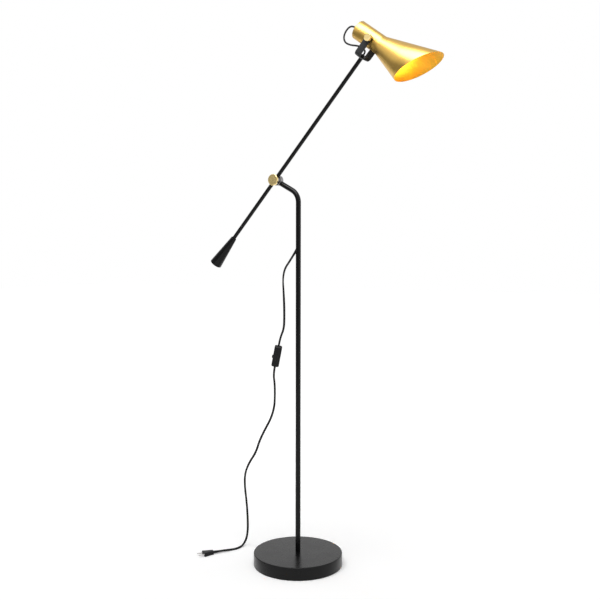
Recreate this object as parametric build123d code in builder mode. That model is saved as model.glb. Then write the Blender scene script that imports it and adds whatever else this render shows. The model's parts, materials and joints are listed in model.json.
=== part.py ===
"""Adjustable arm floor lamp: a weighted disc base, a bent post, a tilting arm with a counterweight, a brass
shade in a yoke, and a mains cord with an in-line switch and a plug.

Millimetres, +Z up. The origin is on the floor under the post, the arm reaches towards +X, and the clamp
knobs face -Y.
"""
import os
from math import cos, radians, sin, tan

from build123d import *

os.makedirs("parts", exist_ok=True)

# Fits
RUNNING = 0.05
SLIP = 0.1
AIR = 0.3

# Base
BASE_DIAMETER = 280
BASE_HEIGHT = 40
BASE_WALL = 2
BASE_EDGE_RADIUS = 2.5
COVER_LIFT = 1
PAD_THICKNESS = 2
PAD_INSET = 6
BASE_BOLT_DIAMETER = 10
BASE_BOLT_REACH = 22
BASE_BOLT_HEAD_WIDTH = 17
BASE_BOLT_HEAD_HEIGHT = 6.4
BASE_WASHER_DIAMETER = 26
BASE_WASHER_THICKNESS = 2
BOLT_WELL_MARGIN = 4
BOLT_WELL_DEPTH = 14
WEIGHT_DISC_THICKNESS = 12
WEIGHT_BOSS_WALL = 18
POST_PLUG_LENGTH = 30

# Post
POST_DIAMETER = 16
POST_WALL = 1.5
POST_END_RISE = 45.4
POST_END_DROP = 3
POST_BEND_RADIUS = 44
CORD_EXIT_HEIGHT = 994
CORD_EXIT_DROP = 54

# Arm pivot
PIVOT_X = -76.4
PIVOT_HEIGHT = 1212.4
HOUSING_DIAMETER = 32
HOUSING_MARGIN = 0.25
HOUSING_WEB = 2
HOUSING_RECESS_DEPTH = 4
HOUSING_RECESS_MARGIN = 3
SPIGOT_LENGTH = 12
CABLE_BORE = 6
PIVOT_BOLT_DIAMETER = 6
PIVOT_BOLT_HEAD_DIAMETER = 12
PIVOT_BOLT_HEAD_HEIGHT = 3
PIVOT_BOLT_SOCKET = 4
PIVOT_BOLT_GRIP = 4.5
FRICTION_WASHER_DIAMETER = 26
FRICTION_WASHER_THICKNESS = 0.8
HUB_DIAMETER = 28
HUB_WALL = 1
HUB_SOCKET_DEPTH = 8.5
TRUNNION_DIAMETER = 14
TRUNNION_WALL = 2
TRUNNION_LENGTH = 5
ARM_KNOB_DIAMETER = 35
ARM_KNOB_LENGTH = 7.2
KNOB_CHAMFER = 0.8

# Arm and counterweight
ARM_ANGLE = 48.35
ARM_DIAMETER = 12
ARM_WALL = 1
ARM_REACH = 453
WEIGHT_START = 240
WEIGHT_LENGTH = 111
WEIGHT_COLLAR_WALL = 2.7
WEIGHT_WIDE_DIAMETER = 39.7
WEIGHT_BORE_DEPTH = 80
WEIGHT_CHAMFER = 0.8
WEIGHT_SCREW_DIAMETER = 5
WEIGHT_SCREW_SETBACK = 30

# Yoke
YOKE_REACH = 60.4
YOKE_STRIP_WIDTH = 21
YOKE_STRIP_THICKNESS = 3
YOKE_BEND_RADIUS = 12
NIPPLE_DIAMETER = 8
NIPPLE_TAIL = 18
NIPPLE_TIP = 1.5
NIPPLE_BORE = 5.6
YOKE_WASHER_DIAMETER = 20
YOKE_WASHER_THICKNESS = 1
YOKE_NUT_WIDTH = 16
YOKE_NUT_HEIGHT = 6

# Shade
SHADE_DROP = 36.9
SHADE_WALL = 1
NECK_DIAMETER = 56
NECK_REAR = 60
NECK_FRONT = 30
CONE_HALF_ANGLE = 15.8
MOUTH_DISTANCE = 163
MOUTH_SLANT = 28.6
REAR_CAP_THICKNESS = 1.2
REAR_CAP_SKIRT = 8
STUD_DIAMETER = 5
SHADE_KNOB_DIAMETER = 21.5
SHADE_KNOB_LENGTH = 9
SPACER_DIAMETER = 16
SPACER_THICKNESS = 2.5
BOSS_DIAMETER = 13
BOSS_LENGTH = 7

# Lampholder and lamp
HOLDER_NIPPLE_DIAMETER = 10
HOLDER_NIPPLE_LENGTH = 21
GLAND_DIAMETER = 13
GLAND_TIP_DIAMETER = 8
GLAND_LENGTH = 11
GLAND_THREAD = 5
HOLDER_NUT_WIDTH = 14
HOLDER_NUT_HEIGHT = 3
HOLDER_DIAMETER = 26
HOLDER_LENGTH = 42
HOLDER_FLOOR = 9
LAMP_CAP_DIAMETER = 14
LAMP_CAP_LENGTH = 24
LAMP_CAP_SEAT = 6
LAMP_AIR = 4.5
LAMP_LENGTH = 78
LAMP_GLASS = 1

# Cords, switch and plug
BEND_SHARE = 0.45
HEAD_CABLE_DIAMETER = 5.2
GLAND_LEAD = 10
NIPPLE_LEAD = 9
CORD_DIAMETER = 6
RELIEF_LEAD = 25
SWITCH_LEAD = 26
PLUG_LEAD = 19
CORD_RELIEF_LENGTH = 20
CORD_RELIEF_DIAMETER = 9
CORD_RELIEF_TIP = 7.4
SWITCH_CENTRE = (-82.6, 3.6, 656.7)
SWITCH_LEAN = 12.4
SWITCH_FACING = 212
SWITCH_LENGTH = 69
SWITCH_WIDTH = 26
SWITCH_DEPTH = 24
SWITCH_CORNER = 9
SWITCH_WALL = 2
SWITCH_EDGE = 4
BUTTON_LENGTH = 9
BUTTON_WIDTH = 8
BUTTON_RISE = 3
BUTTON_TRAVEL = 6
BUTTON_FLANGE = 2
BUTTON_STEM = 4
SWITCH_SCREW_DIAMETER = 3
SWITCH_SCREW_HEAD = 5.4
SWITCH_SCREW_SPACING = 44
PLUG_START = (-267.5, -57.5)
PLUG_HEADING = 237
PLUG_LENGTH = 34
PLUG_WIDTH = 34
PLUG_THICKNESS = 13
PLUG_GRIP_WIDTH = 14
PLUG_CORNER = 5
PLUG_SLEEVE_LENGTH = 22
PLUG_SLEEVE_DIAMETER = 10
PIN_DIAMETER = 4
PIN_LENGTH = 19
PIN_SPACING = 18.6
PIN_EMBED = 8
PIN_TIP_RADIUS = 1.2

# Frames worked out from the sizes above
housing_half = POST_DIAMETER / 2 + HOUSING_MARGIN
hub_length = ARM_DIAMETER + 2 * HUB_WALL
arm_y = -(housing_half + FRICTION_WASHER_THICKNESS + hub_length / 2)
hub_front = arm_y - hub_length / 2
hub_rear = arm_y + hub_length / 2
arm_direction = Vector(cos(radians(ARM_ANGLE)), 0, sin(radians(ARM_ANGLE)))
arm_pivot = Vector(PIVOT_X, arm_y, PIVOT_HEIGHT)
shade_pivot = arm_pivot + arm_direction * (ARM_REACH + YOKE_REACH)
shade_direction = Vector(cos(radians(SHADE_DROP)), 0, -sin(radians(SHADE_DROP)))
shade_profile = Plane(origin=shade_pivot, x_dir=shade_direction, z_dir=(0, -1, 0))
shade_axis = Axis(shade_pivot, shade_direction)
post_corner = Vector(0, 0, PIVOT_HEIGHT - POST_END_RISE)
post_end = Vector(PIVOT_X, 0, PIVOT_HEIGHT - POST_END_DROP)
post_slope = (post_corner - post_end).normalized()
post_bore = POST_DIAMETER - 2 * POST_WALL
arm_bore = ARM_DIAMETER - 2 * ARM_WALL


def along_arm(distance):
    """The plane square to the arm at a distance from its pivot, facing up the arm."""
    return Plane(origin=arm_pivot + arm_direction * distance, x_dir=(0, 1, 0), z_dir=arm_direction)


def down_arm(distance):
    """The plane square to the arm at a distance below its pivot, facing down the arm."""
    return Plane(origin=arm_pivot - arm_direction * distance, x_dir=(0, 1, 0), z_dir=arm_direction * -1)


def across_pivot(y):
    """The plane square to the arm's pivot at a given depth, facing the front of the lamp."""
    return Plane(origin=(PIVOT_X, y, PIVOT_HEIGHT), x_dir=(1, 0, 0), z_dir=(0, -1, 0))


def along_shade(distance):
    """The plane square to the shade's axis at a distance ahead of its pivot, facing its mouth."""
    return Plane(origin=shade_pivot + shade_direction * distance, x_dir=(0, 1, 0), z_dir=shade_direction)


def outward(side, distance):
    """The plane square to the shade's pivot, at a distance out from its middle on one side."""
    return Plane(origin=shade_pivot + Vector(0, side * distance, 0), x_dir=arm_direction, z_dir=(0, side, 0))


def bar(plane, diameter, length, bore=0, mode=Mode.ADD):
    """A round bar or tube that stands on a plane, added to the piece in hand or cut from it."""
    with BuildSketch(plane) as section:
        Circle(diameter / 2)
        if bore:
            Circle(bore / 2, mode=Mode.SUBTRACT)
    extrude(section.sketch, amount=length, mode=mode)


def hexagon(plane, width, length, bore=0, mode=Mode.ADD):
    """A hexagonal bar of a given width across its flats that stands on a plane."""
    with BuildSketch(plane) as section:
        RegularPolygon(width / 2, 6, major_radius=False)
        if bore:
            Circle(bore / 2, mode=Mode.SUBTRACT)
    extrude(section.sketch, amount=length, mode=mode)


def turned(plane, axis, *points):
    """A piece turned on an axis from a closed outline of points on a plane."""
    with BuildSketch(plane) as section:
        with BuildLine():
            Polyline(*points, close=True)
        make_face()
    revolve(section.sketch, axis=axis)


def bend_radii(points):
    """The largest even bend at each inner point of a cord's route."""
    radii = []
    for before, here, after in zip(points, points[1:], points[2:]):
        arrive, leave = here - before, after - here
        half_turn = radians(arrive.get_angle(leave)) / 2
        radii.append(BEND_SHARE * min(arrive.length, leave.length) / tan(half_turn))
    return radii


def cord(points, diameter):
    """A round cord along straight runs joined by tangent arcs."""
    route = [Vector(*point) for point in points]
    radii = bend_radii(route)
    with BuildLine() as line:
        FilletPolyline(*route, radius=radii)
    with BuildSketch(Plane(origin=route[0], z_dir=route[1] - route[0])) as section:
        Circle(diameter / 2)
    sweep(section.sketch, path=line.wires()[0])
    print("cord radii", [round(radius, 1) for radius in radii], "length", round(line.wires()[0].length, 1))


def finish(piece, name):
    """Name a finished piece and write it."""
    piece.part.label = name
    export_step(piece.part, f"parts/{name}.step")


# Base cover: a spun steel cup over the weight, with a hole for the bolt
with BuildPart() as base_cover:
    bar(Plane.XY.offset(COVER_LIFT), BASE_DIAMETER, BASE_HEIGHT - COVER_LIFT)
    fillet(base_cover.faces().sort_by(Axis.Z)[-1].edges(), BASE_EDGE_RADIUS)
    cup_height = BASE_HEIGHT - COVER_LIFT - BASE_WALL
    bar(Plane.XY.offset(COVER_LIFT), BASE_DIAMETER - 2 * BASE_WALL, cup_height, mode=Mode.SUBTRACT)
    bar(Plane.XY, BASE_BOLT_DIAMETER + 2 * SLIP, 2 * BASE_HEIGHT, mode=Mode.SUBTRACT)
finish(base_cover, "base_cover")

# Weight: a cast iron disc with a boss that bears the cover and holds the bolt's head in a well
weight_top = BASE_HEIGHT - BASE_WALL
weight_diameter = BASE_DIAMETER - 2 * BASE_WALL - 2 * AIR
well_diameter = BASE_WASHER_DIAMETER + 2 * BOLT_WELL_MARGIN
with BuildPart() as base_weight:
    bar(Plane.XY.offset(PAD_THICKNESS), weight_diameter, WEIGHT_DISC_THICKNESS)
    bar(Plane.XY.offset(PAD_THICKNESS), well_diameter + 2 * WEIGHT_BOSS_WALL, weight_top - PAD_THICKNESS)
    bar(Plane.XY, BASE_BOLT_DIAMETER + 2 * SLIP, 2 * BASE_HEIGHT, mode=Mode.SUBTRACT)
    bar(Plane.XY, well_diameter, PAD_THICKNESS + BOLT_WELL_DEPTH, mode=Mode.SUBTRACT)
finish(base_weight, "base_weight")

# Pad: a felt disc that the lamp stands on
with BuildPart() as base_pad:
    bar(Plane.XY, weight_diameter - 2 * PAD_INSET, PAD_THICKNESS)
finish(base_pad, "base_pad")

# Bolt and washer that pull the post down on the base
bolt_seat = PAD_THICKNESS + BOLT_WELL_DEPTH - BASE_WASHER_THICKNESS
with BuildPart() as base_washer:
    bar(Plane.XY.offset(bolt_seat), BASE_WASHER_DIAMETER, BASE_WASHER_THICKNESS, BASE_BOLT_DIAMETER + 2 * SLIP)
finish(base_washer, "base_washer")

with BuildPart() as base_bolt:
    hexagon(Plane.XY.offset(bolt_seat - BASE_BOLT_HEAD_HEIGHT), BASE_BOLT_HEAD_WIDTH, BASE_BOLT_HEAD_HEIGHT)
    bar(Plane.XY.offset(bolt_seat), BASE_BOLT_DIAMETER, BASE_HEIGHT + BASE_BOLT_REACH - bolt_seat)
finish(base_bolt, "base_bolt")

with BuildPart() as post_plug:
    plug_bore = BASE_BOLT_DIAMETER + 2 * RUNNING
    bar(Plane.XY.offset(BASE_HEIGHT), post_bore - 2 * RUNNING, POST_PLUG_LENGTH, plug_bore)
finish(post_plug, "post_plug")

# Cord exit: a slanted strain relief through the wall of the post
exit_direction = Vector(-cos(radians(CORD_EXIT_DROP)), 0, -sin(radians(CORD_EXIT_DROP)))
exit_point = Vector(POST_WALL - POST_DIAMETER / 2, 0, CORD_EXIT_HEIGHT)
exit_plane = Plane(origin=exit_point, x_dir=(0, 1, 0), z_dir=exit_direction)

# Post: one tube, bent at the top and coped to the pivot housing
with BuildPart() as post:
    with BuildLine() as post_line:
        tube_end = post_end + post_slope * (HOUSING_DIAMETER / 4)
        FilletPolyline((0, 0, BASE_HEIGHT), post_corner, tube_end, radius=POST_BEND_RADIUS)
    with BuildSketch(Plane.XY.offset(BASE_HEIGHT)):
        Circle(POST_DIAMETER / 2)
        Circle(post_bore / 2, mode=Mode.SUBTRACT)
    sweep(path=post_line.wires()[0])
    bar(across_pivot(POST_DIAMETER), HOUSING_DIAMETER, 2 * POST_DIAMETER, mode=Mode.SUBTRACT)
    bar(exit_plane, CORD_RELIEF_DIAMETER + 2 * SLIP, POST_DIAMETER, mode=Mode.SUBTRACT)
finish(post, "post")

with BuildPart() as cord_relief:
    with BuildSketch(exit_plane):
        Circle(CORD_RELIEF_DIAMETER / 2)
    with BuildSketch(exit_plane.offset(CORD_RELIEF_LENGTH)):
        Circle(CORD_RELIEF_TIP / 2)
    loft()
finish(cord_relief, "cord_relief")

# Pivot housing: a drum on the end of the post, with a spigot brazed into the tube
housing_length = 2 * housing_half
chamber_rear = housing_half - HOUSING_RECESS_DEPTH - HOUSING_WEB
recess_diameter = PIVOT_BOLT_HEAD_DIAMETER + 2 * HOUSING_RECESS_MARGIN
with BuildPart() as pivot_housing:
    bar(across_pivot(housing_half), HOUSING_DIAMETER, housing_length)
    chamfer(pivot_housing.edges().filter_by(GeomType.CIRCLE), KNOB_CHAMFER)
    spigot_plane = Plane(origin=post_end, x_dir=(0, 1, 0), z_dir=post_slope)
    bar(spigot_plane, post_bore - 2 * RUNNING, HOUSING_DIAMETER / 2 + SPIGOT_LENGTH)
    chamber_length = chamber_rear + housing_half
    bar(across_pivot(chamber_rear), TRUNNION_DIAMETER + 2 * RUNNING, chamber_length, mode=Mode.SUBTRACT)
    bar(across_pivot(housing_half), PIVOT_BOLT_DIAMETER + 2 * SLIP, housing_length, mode=Mode.SUBTRACT)
    bar(across_pivot(housing_half), recess_diameter, HOUSING_RECESS_DEPTH, mode=Mode.SUBTRACT)
    bar(spigot_plane, CABLE_BORE, HOUSING_DIAMETER + SPIGOT_LENGTH, mode=Mode.SUBTRACT)
finish(pivot_housing, "pivot_housing")

# Pivot bolt: held in the housing, it carries the hub and takes the clamp knob
bolt_head_front = housing_half - HOUSING_RECESS_DEPTH
bolt_head_rear = bolt_head_front + PIVOT_BOLT_HEAD_HEIGHT
with BuildPart() as pivot_bolt:
    bar(across_pivot(bolt_head_rear), PIVOT_BOLT_HEAD_DIAMETER, PIVOT_BOLT_HEAD_HEIGHT)
    bar(across_pivot(bolt_head_front), PIVOT_BOLT_DIAMETER, bolt_head_front - hub_front + PIVOT_BOLT_GRIP)
    hexagon(across_pivot(bolt_head_rear), PIVOT_BOLT_SOCKET, PIVOT_BOLT_HEAD_HEIGHT / 2, mode=Mode.SUBTRACT)
finish(pivot_bolt, "pivot_bolt")

with BuildPart() as pivot_cap:
    cap_length = HOUSING_RECESS_DEPTH - PIVOT_BOLT_HEAD_HEIGHT
    bar(across_pivot(housing_half), recess_diameter - 2 * RUNNING, cap_length)
finish(pivot_cap, "pivot_cap")

with BuildPart() as friction_washer:
    washer_bore = TRUNNION_DIAMETER + 2 * SLIP
    bar(across_pivot(-housing_half), FRICTION_WASHER_DIAMETER, FRICTION_WASHER_THICKNESS, washer_bore)
finish(friction_washer, "friction_washer")

# Hub: turns in the housing on its hollow trunnion and holds an arm tube on each side
trunnion_rear = TRUNNION_LENGTH - housing_half
socket_floor = HUB_DIAMETER / 2 - HUB_SOCKET_DEPTH
with BuildPart() as arm_hub:
    bar(across_pivot(hub_rear), HUB_DIAMETER, hub_length)
    chamfer(arm_hub.edges().filter_by(GeomType.CIRCLE), KNOB_CHAMFER)
    bar(across_pivot(trunnion_rear), TRUNNION_DIAMETER, trunnion_rear - hub_rear)
    trunnion_bore = TRUNNION_DIAMETER - 2 * TRUNNION_WALL
    bar(across_pivot(trunnion_rear), trunnion_bore, trunnion_rear - arm_y, mode=Mode.SUBTRACT)
    bar(across_pivot(trunnion_rear), PIVOT_BOLT_DIAMETER + 2 * RUNNING, 2 * hub_length, mode=Mode.SUBTRACT)
    bar(along_arm(socket_floor), ARM_DIAMETER + 2 * RUNNING, HUB_DIAMETER, mode=Mode.SUBTRACT)
    bar(down_arm(socket_floor), ARM_DIAMETER + 2 * RUNNING, HUB_DIAMETER, mode=Mode.SUBTRACT)
    bar(along_arm(0), CABLE_BORE, HUB_DIAMETER / 2, mode=Mode.SUBTRACT)
finish(arm_hub, "arm_hub")

with BuildPart() as arm_knob:
    bar(across_pivot(hub_front), ARM_KNOB_DIAMETER, ARM_KNOB_LENGTH)
    chamfer(arm_knob.edges().filter_by(GeomType.CIRCLE), KNOB_CHAMFER)
    knob_bore = PIVOT_BOLT_DIAMETER + 2 * RUNNING
    bar(across_pivot(hub_front), knob_bore, PIVOT_BOLT_GRIP + AIR, mode=Mode.SUBTRACT)
finish(arm_knob, "arm_knob")

# Arm: an upper tube to the yoke and a lower tube to the counterweight
with BuildPart() as arm_tube:
    bar(along_arm(socket_floor), ARM_DIAMETER, ARM_REACH - socket_floor, arm_bore)
finish(arm_tube, "arm_tube")

rod_end = WEIGHT_START + WEIGHT_BORE_DEPTH
with BuildPart() as arm_rod:
    bar(down_arm(socket_floor), ARM_DIAMETER, rod_end - socket_floor, arm_bore)
finish(arm_rod, "arm_rod")

# Counterweight: a solid cone on the lower tube, held by a set screw
weight_profile = Plane(origin=arm_pivot, x_dir=arm_direction * -1, z_dir=(0, -1, 0))
weight_end = WEIGHT_START + WEIGHT_LENGTH
weight_bore = ARM_DIAMETER / 2 + RUNNING
narrow_radius = ARM_DIAMETER / 2 + WEIGHT_COLLAR_WALL
weight_slope = (WEIGHT_WIDE_DIAMETER / 2 - narrow_radius) / WEIGHT_LENGTH
screw_place = WEIGHT_START + WEIGHT_SCREW_SETBACK
screw_seat = Plane(
    origin=arm_pivot - arm_direction * screw_place,
    x_dir=(0, 1, 0),
    z_dir=(sin(radians(ARM_ANGLE)), 0, -cos(radians(ARM_ANGLE))),
).offset(ARM_DIAMETER / 2)
screw_length = narrow_radius + weight_slope * WEIGHT_SCREW_SETBACK - ARM_DIAMETER / 2 - AIR
with BuildPart() as counterweight:
    turned(
        weight_profile,
        Axis(arm_pivot, arm_direction),
        (WEIGHT_START, weight_bore),
        (WEIGHT_START, narrow_radius - WEIGHT_CHAMFER),
        (WEIGHT_START + WEIGHT_CHAMFER, narrow_radius),
        (weight_end - WEIGHT_CHAMFER, WEIGHT_WIDE_DIAMETER / 2),
        (weight_end, WEIGHT_WIDE_DIAMETER / 2 - WEIGHT_CHAMFER),
        (weight_end, 0),
        (rod_end, 0),
        (rod_end, weight_bore),
    )
    bar(screw_seat, WEIGHT_SCREW_DIAMETER + 2 * RUNNING, WEIGHT_WIDE_DIAMETER, mode=Mode.SUBTRACT)
finish(counterweight, "counterweight")

with BuildPart() as weight_screw:
    bar(screw_seat, WEIGHT_SCREW_DIAMETER, screw_length)
    socket_plane = screw_seat.offset(screw_length / 2)
    hexagon(socket_plane, WEIGHT_SCREW_DIAMETER / 2, screw_length, mode=Mode.SUBTRACT)
finish(weight_screw, "weight_screw")

# Nipple, washer and nut that fasten the yoke to the arm
yoke_seat = ARM_REACH + YOKE_STRIP_THICKNESS
nut_seat = yoke_seat + YOKE_WASHER_THICKNESS
nipple_top = nut_seat + YOKE_NUT_HEIGHT + NIPPLE_TIP
with BuildPart() as arm_nipple:
    bar(along_arm(ARM_REACH - NIPPLE_TAIL), arm_bore - 2 * RUNNING, NIPPLE_TAIL)
    bar(along_arm(ARM_REACH), NIPPLE_DIAMETER, nipple_top - ARM_REACH)
    bar(along_arm(ARM_REACH - NIPPLE_TAIL), NIPPLE_BORE, 2 * NIPPLE_TAIL + YOKE_REACH, mode=Mode.SUBTRACT)
finish(arm_nipple, "arm_nipple")

with BuildPart() as yoke_washer:
    bar(along_arm(yoke_seat), YOKE_WASHER_DIAMETER, YOKE_WASHER_THICKNESS, NIPPLE_DIAMETER + 2 * SLIP)
finish(yoke_washer, "yoke_washer")

with BuildPart() as yoke_nut:
    hexagon(along_arm(nut_seat), YOKE_NUT_WIDTH, YOKE_NUT_HEIGHT, NIPPLE_DIAMETER + 2 * RUNNING)
finish(yoke_nut, "yoke_nut")

# Yoke: one bent strip with round ends, drilled for the nipple and the thumb screws
yoke_profile = Plane(
    origin=shade_pivot,
    x_dir=arm_direction,
    z_dir=(-sin(radians(ARM_ANGLE)), 0, cos(radians(ARM_ANGLE))),
)
yoke_inner_width = NECK_DIAMETER + 2 * SPACER_THICKNESS
yoke_outer_width = yoke_inner_width + 2 * YOKE_STRIP_THICKNESS
yoke_floor = YOKE_REACH - YOKE_STRIP_THICKNESS
with BuildPart() as yoke:
    with BuildSketch(yoke_profile) as yoke_strip:
        with Locations((-YOKE_REACH / 2, 0)):
            Rectangle(YOKE_REACH, yoke_outer_width)
        fillet(yoke_strip.vertices().group_by(Axis.X)[0], YOKE_BEND_RADIUS)
        with BuildSketch(mode=Mode.SUBTRACT) as yoke_gap:
            with Locations((-yoke_floor / 2, 0)):
                Rectangle(yoke_floor, yoke_inner_width)
            fillet(yoke_gap.vertices().group_by(Axis.X)[0], YOKE_BEND_RADIUS - YOKE_STRIP_THICKNESS)
    extrude(amount=YOKE_STRIP_WIDTH / 2, both=True)
    for side in (-1, 1):
        bar(outward(side, yoke_inner_width / 2), YOKE_STRIP_WIDTH, YOKE_STRIP_THICKNESS)
        bar(outward(side, 0), STUD_DIAMETER + 2 * SLIP, yoke_outer_width, mode=Mode.SUBTRACT)
    bar(along_arm(ARM_REACH), NIPPLE_DIAMETER + 2 * SLIP, YOKE_STRIP_THICKNESS, mode=Mode.SUBTRACT)
finish(yoke, "yoke")

# Shade: a spun neck and cone, cut off at a slant and drilled for the thumb screws
cone_slope = tan(radians(CONE_HALF_ANGLE))
neck_radius = NECK_DIAMETER / 2
cone_end = MOUTH_DISTANCE + NECK_DIAMETER
cone_end_radius = neck_radius + (cone_end - NECK_FRONT) * cone_slope
cone_wall = SHADE_WALL / cos(radians(CONE_HALF_ANGLE))
inner_corner = NECK_FRONT + (cone_wall - SHADE_WALL) / cone_slope
mouth_normal = Vector(
    sin(radians(90 - SHADE_DROP - MOUTH_SLANT)),
    0,
    -cos(radians(90 - SHADE_DROP - MOUTH_SLANT)),
)
with BuildPart() as shade:
    turned(
        shade_profile,
        shade_axis,
        (-NECK_REAR, neck_radius),
        (NECK_FRONT, neck_radius),
        (cone_end, cone_end_radius),
        (cone_end, cone_end_radius - cone_wall),
        (inner_corner, neck_radius - SHADE_WALL),
        (-NECK_REAR, neck_radius - SHADE_WALL),
    )
    mouth_plane = Plane(origin=shade_pivot + shade_direction * MOUTH_DISTANCE, z_dir=mouth_normal)
    split(bisect_by=mouth_plane, keep=Keep.BOTTOM)
    for side in (-1, 1):
        bar(outward(side, 0), STUD_DIAMETER + 2 * SLIP, NECK_DIAMETER, mode=Mode.SUBTRACT)
finish(shade, "shade")

# Rear cap: a spun lid with a skirt inside the neck
cap_rear = NECK_REAR + REAR_CAP_THICKNESS
skirt_diameter = NECK_DIAMETER - 2 * SHADE_WALL - 2 * RUNNING
with BuildPart() as rear_cap:
    bar(along_shade(-cap_rear), NECK_DIAMETER, REAR_CAP_THICKNESS)
    fillet(rear_cap.edges().filter_by(GeomType.CIRCLE).sort_by(shade_axis)[0], REAR_CAP_THICKNESS / 2)
    bar(along_shade(-NECK_REAR), skirt_diameter, REAR_CAP_SKIRT, skirt_diameter - 2 * REAR_CAP_THICKNESS)
    bar(along_shade(-cap_rear), HOLDER_NIPPLE_DIAMETER + 2 * SLIP, NECK_REAR, mode=Mode.SUBTRACT)
finish(rear_cap, "rear_cap")

# Cable gland, hollow nipple and nut that carry the lampholder on the rear cap
with BuildPart() as holder_nipple:
    bar(along_shade(-cap_rear - GLAND_THREAD), HOLDER_NIPPLE_DIAMETER, HOLDER_NIPPLE_LENGTH, NIPPLE_BORE)
finish(holder_nipple, "holder_nipple")

with BuildPart() as head_gland:
    gland_tip = cap_rear + GLAND_LENGTH
    turned(
        shade_profile,
        shade_axis,
        (-cap_rear, HOLDER_NIPPLE_DIAMETER / 2 + RUNNING),
        (-cap_rear, GLAND_DIAMETER / 2),
        (-cap_rear - GLAND_THREAD, GLAND_DIAMETER / 2),
        (-gland_tip, GLAND_TIP_DIAMETER / 2),
        (-gland_tip, HEAD_CABLE_DIAMETER / 2 + RUNNING),
        (-cap_rear - GLAND_THREAD, HEAD_CABLE_DIAMETER / 2 + RUNNING),
        (-cap_rear - GLAND_THREAD, HOLDER_NIPPLE_DIAMETER / 2 + RUNNING),
    )
finish(head_gland, "head_gland")

with BuildPart() as holder_nut:
    nut_bore = HOLDER_NIPPLE_DIAMETER + 2 * RUNNING
    hexagon(along_shade(-NECK_REAR), HOLDER_NUT_WIDTH, HOLDER_NUT_HEIGHT, nut_bore)
finish(holder_nut, "holder_nut")

# Lampholder: screwed on the nipple up to the nut, open to the lamp's cap
holder_rear = HOLDER_NUT_HEIGHT - NECK_REAR
holder_front = holder_rear + HOLDER_LENGTH
with BuildPart() as lampholder:
    bar(along_shade(holder_rear), HOLDER_DIAMETER, HOLDER_LENGTH)
    chamfer(lampholder.edges().filter_by(GeomType.CIRCLE), KNOB_CHAMFER)
    bar(along_shade(holder_rear), HOLDER_NIPPLE_DIAMETER + 2 * RUNNING, HOLDER_LENGTH, mode=Mode.SUBTRACT)
    socket_bore = LAMP_CAP_DIAMETER + 2 * RUNNING
    socket_length = HOLDER_LENGTH - HOLDER_FLOOR
    bar(along_shade(holder_rear + HOLDER_FLOOR), socket_bore, socket_length, mode=Mode.SUBTRACT)
finish(lampholder, "lampholder")

# Lamp: a screw cap and a blown ball with a short neck
cap_front = holder_front + LAMP_CAP_SEAT
cap_back = cap_front - LAMP_CAP_LENGTH
lamp_tip = cap_back + LAMP_LENGTH
lamp_radius = neck_radius - SHADE_WALL - LAMP_AIR
ball_centre = lamp_tip - lamp_radius
with BuildPart() as lamp_cap:
    bar(along_shade(cap_back), LAMP_CAP_DIAMETER, LAMP_CAP_LENGTH)
    chamfer(lamp_cap.edges().filter_by(GeomType.CIRCLE).sort_by(shade_axis)[0], LAMP_CAP_DIAMETER / 5)
finish(lamp_cap, "lamp_cap")

with BuildPart() as lamp_glass:
    with BuildSketch(shade_profile) as lamp_wall:
        for shrink, mode in ((0, Mode.ADD), (LAMP_GLASS, Mode.SUBTRACT)):
            neck_half = LAMP_CAP_DIAMETER / 2 - shrink
            with Locations((ball_centre, 0)):
                Circle(lamp_radius - shrink, mode=mode)
            with BuildLine():
                Polyline(
                    (cap_front, -neck_half),
                    (cap_front, neck_half),
                    (ball_centre, lamp_radius - shrink),
                    (ball_centre, shrink - lamp_radius),
                    close=True,
                )
            make_face(mode=mode)
        with Locations((ball_centre, LAMP_LENGTH / 2)):
            Rectangle(2 * LAMP_LENGTH, LAMP_LENGTH, mode=Mode.INTERSECT)
    revolve(axis=shade_axis)
finish(lamp_glass, "lamp_glass")

# Shade pivots: on each side a saddle spacer, a threaded boss inside the neck and a brass thumb screw
stud_end = neck_radius - SHADE_WALL - BOSS_LENGTH + AIR
yoke_outer = yoke_outer_width / 2
for side, side_name in ((-1, "front"), (1, "rear")):
    with BuildPart() as spacer:
        bar(outward(side, 0), SPACER_DIAMETER, yoke_inner_width / 2, STUD_DIAMETER + 2 * SLIP)
        bar(along_shade(-NECK_DIAMETER), NECK_DIAMETER, 2 * NECK_DIAMETER, mode=Mode.SUBTRACT)
    finish(spacer, f"shade_spacer_{side_name}")

    with BuildPart() as boss:
        boss_floor = neck_radius - SHADE_WALL - BOSS_LENGTH
        bar(outward(side, boss_floor), BOSS_DIAMETER, NECK_DIAMETER, STUD_DIAMETER + 2 * RUNNING)
        with BuildSketch(along_shade(-NECK_DIAMETER)) as neck_inside:
            Circle(neck_radius - SHADE_WALL)
        extrude(neck_inside.sketch, amount=2 * NECK_DIAMETER, mode=Mode.INTERSECT)
    finish(boss, f"shade_boss_{side_name}")

    with BuildPart() as thumb_knob:
        bar(outward(side, yoke_outer), SHADE_KNOB_DIAMETER, SHADE_KNOB_LENGTH)
        chamfer(thumb_knob.edges().filter_by(GeomType.CIRCLE), KNOB_CHAMFER)
        bar(outward(side, stud_end), STUD_DIAMETER, yoke_outer - stud_end)
    finish(thumb_knob, f"shade_knob_{side_name}")

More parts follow.
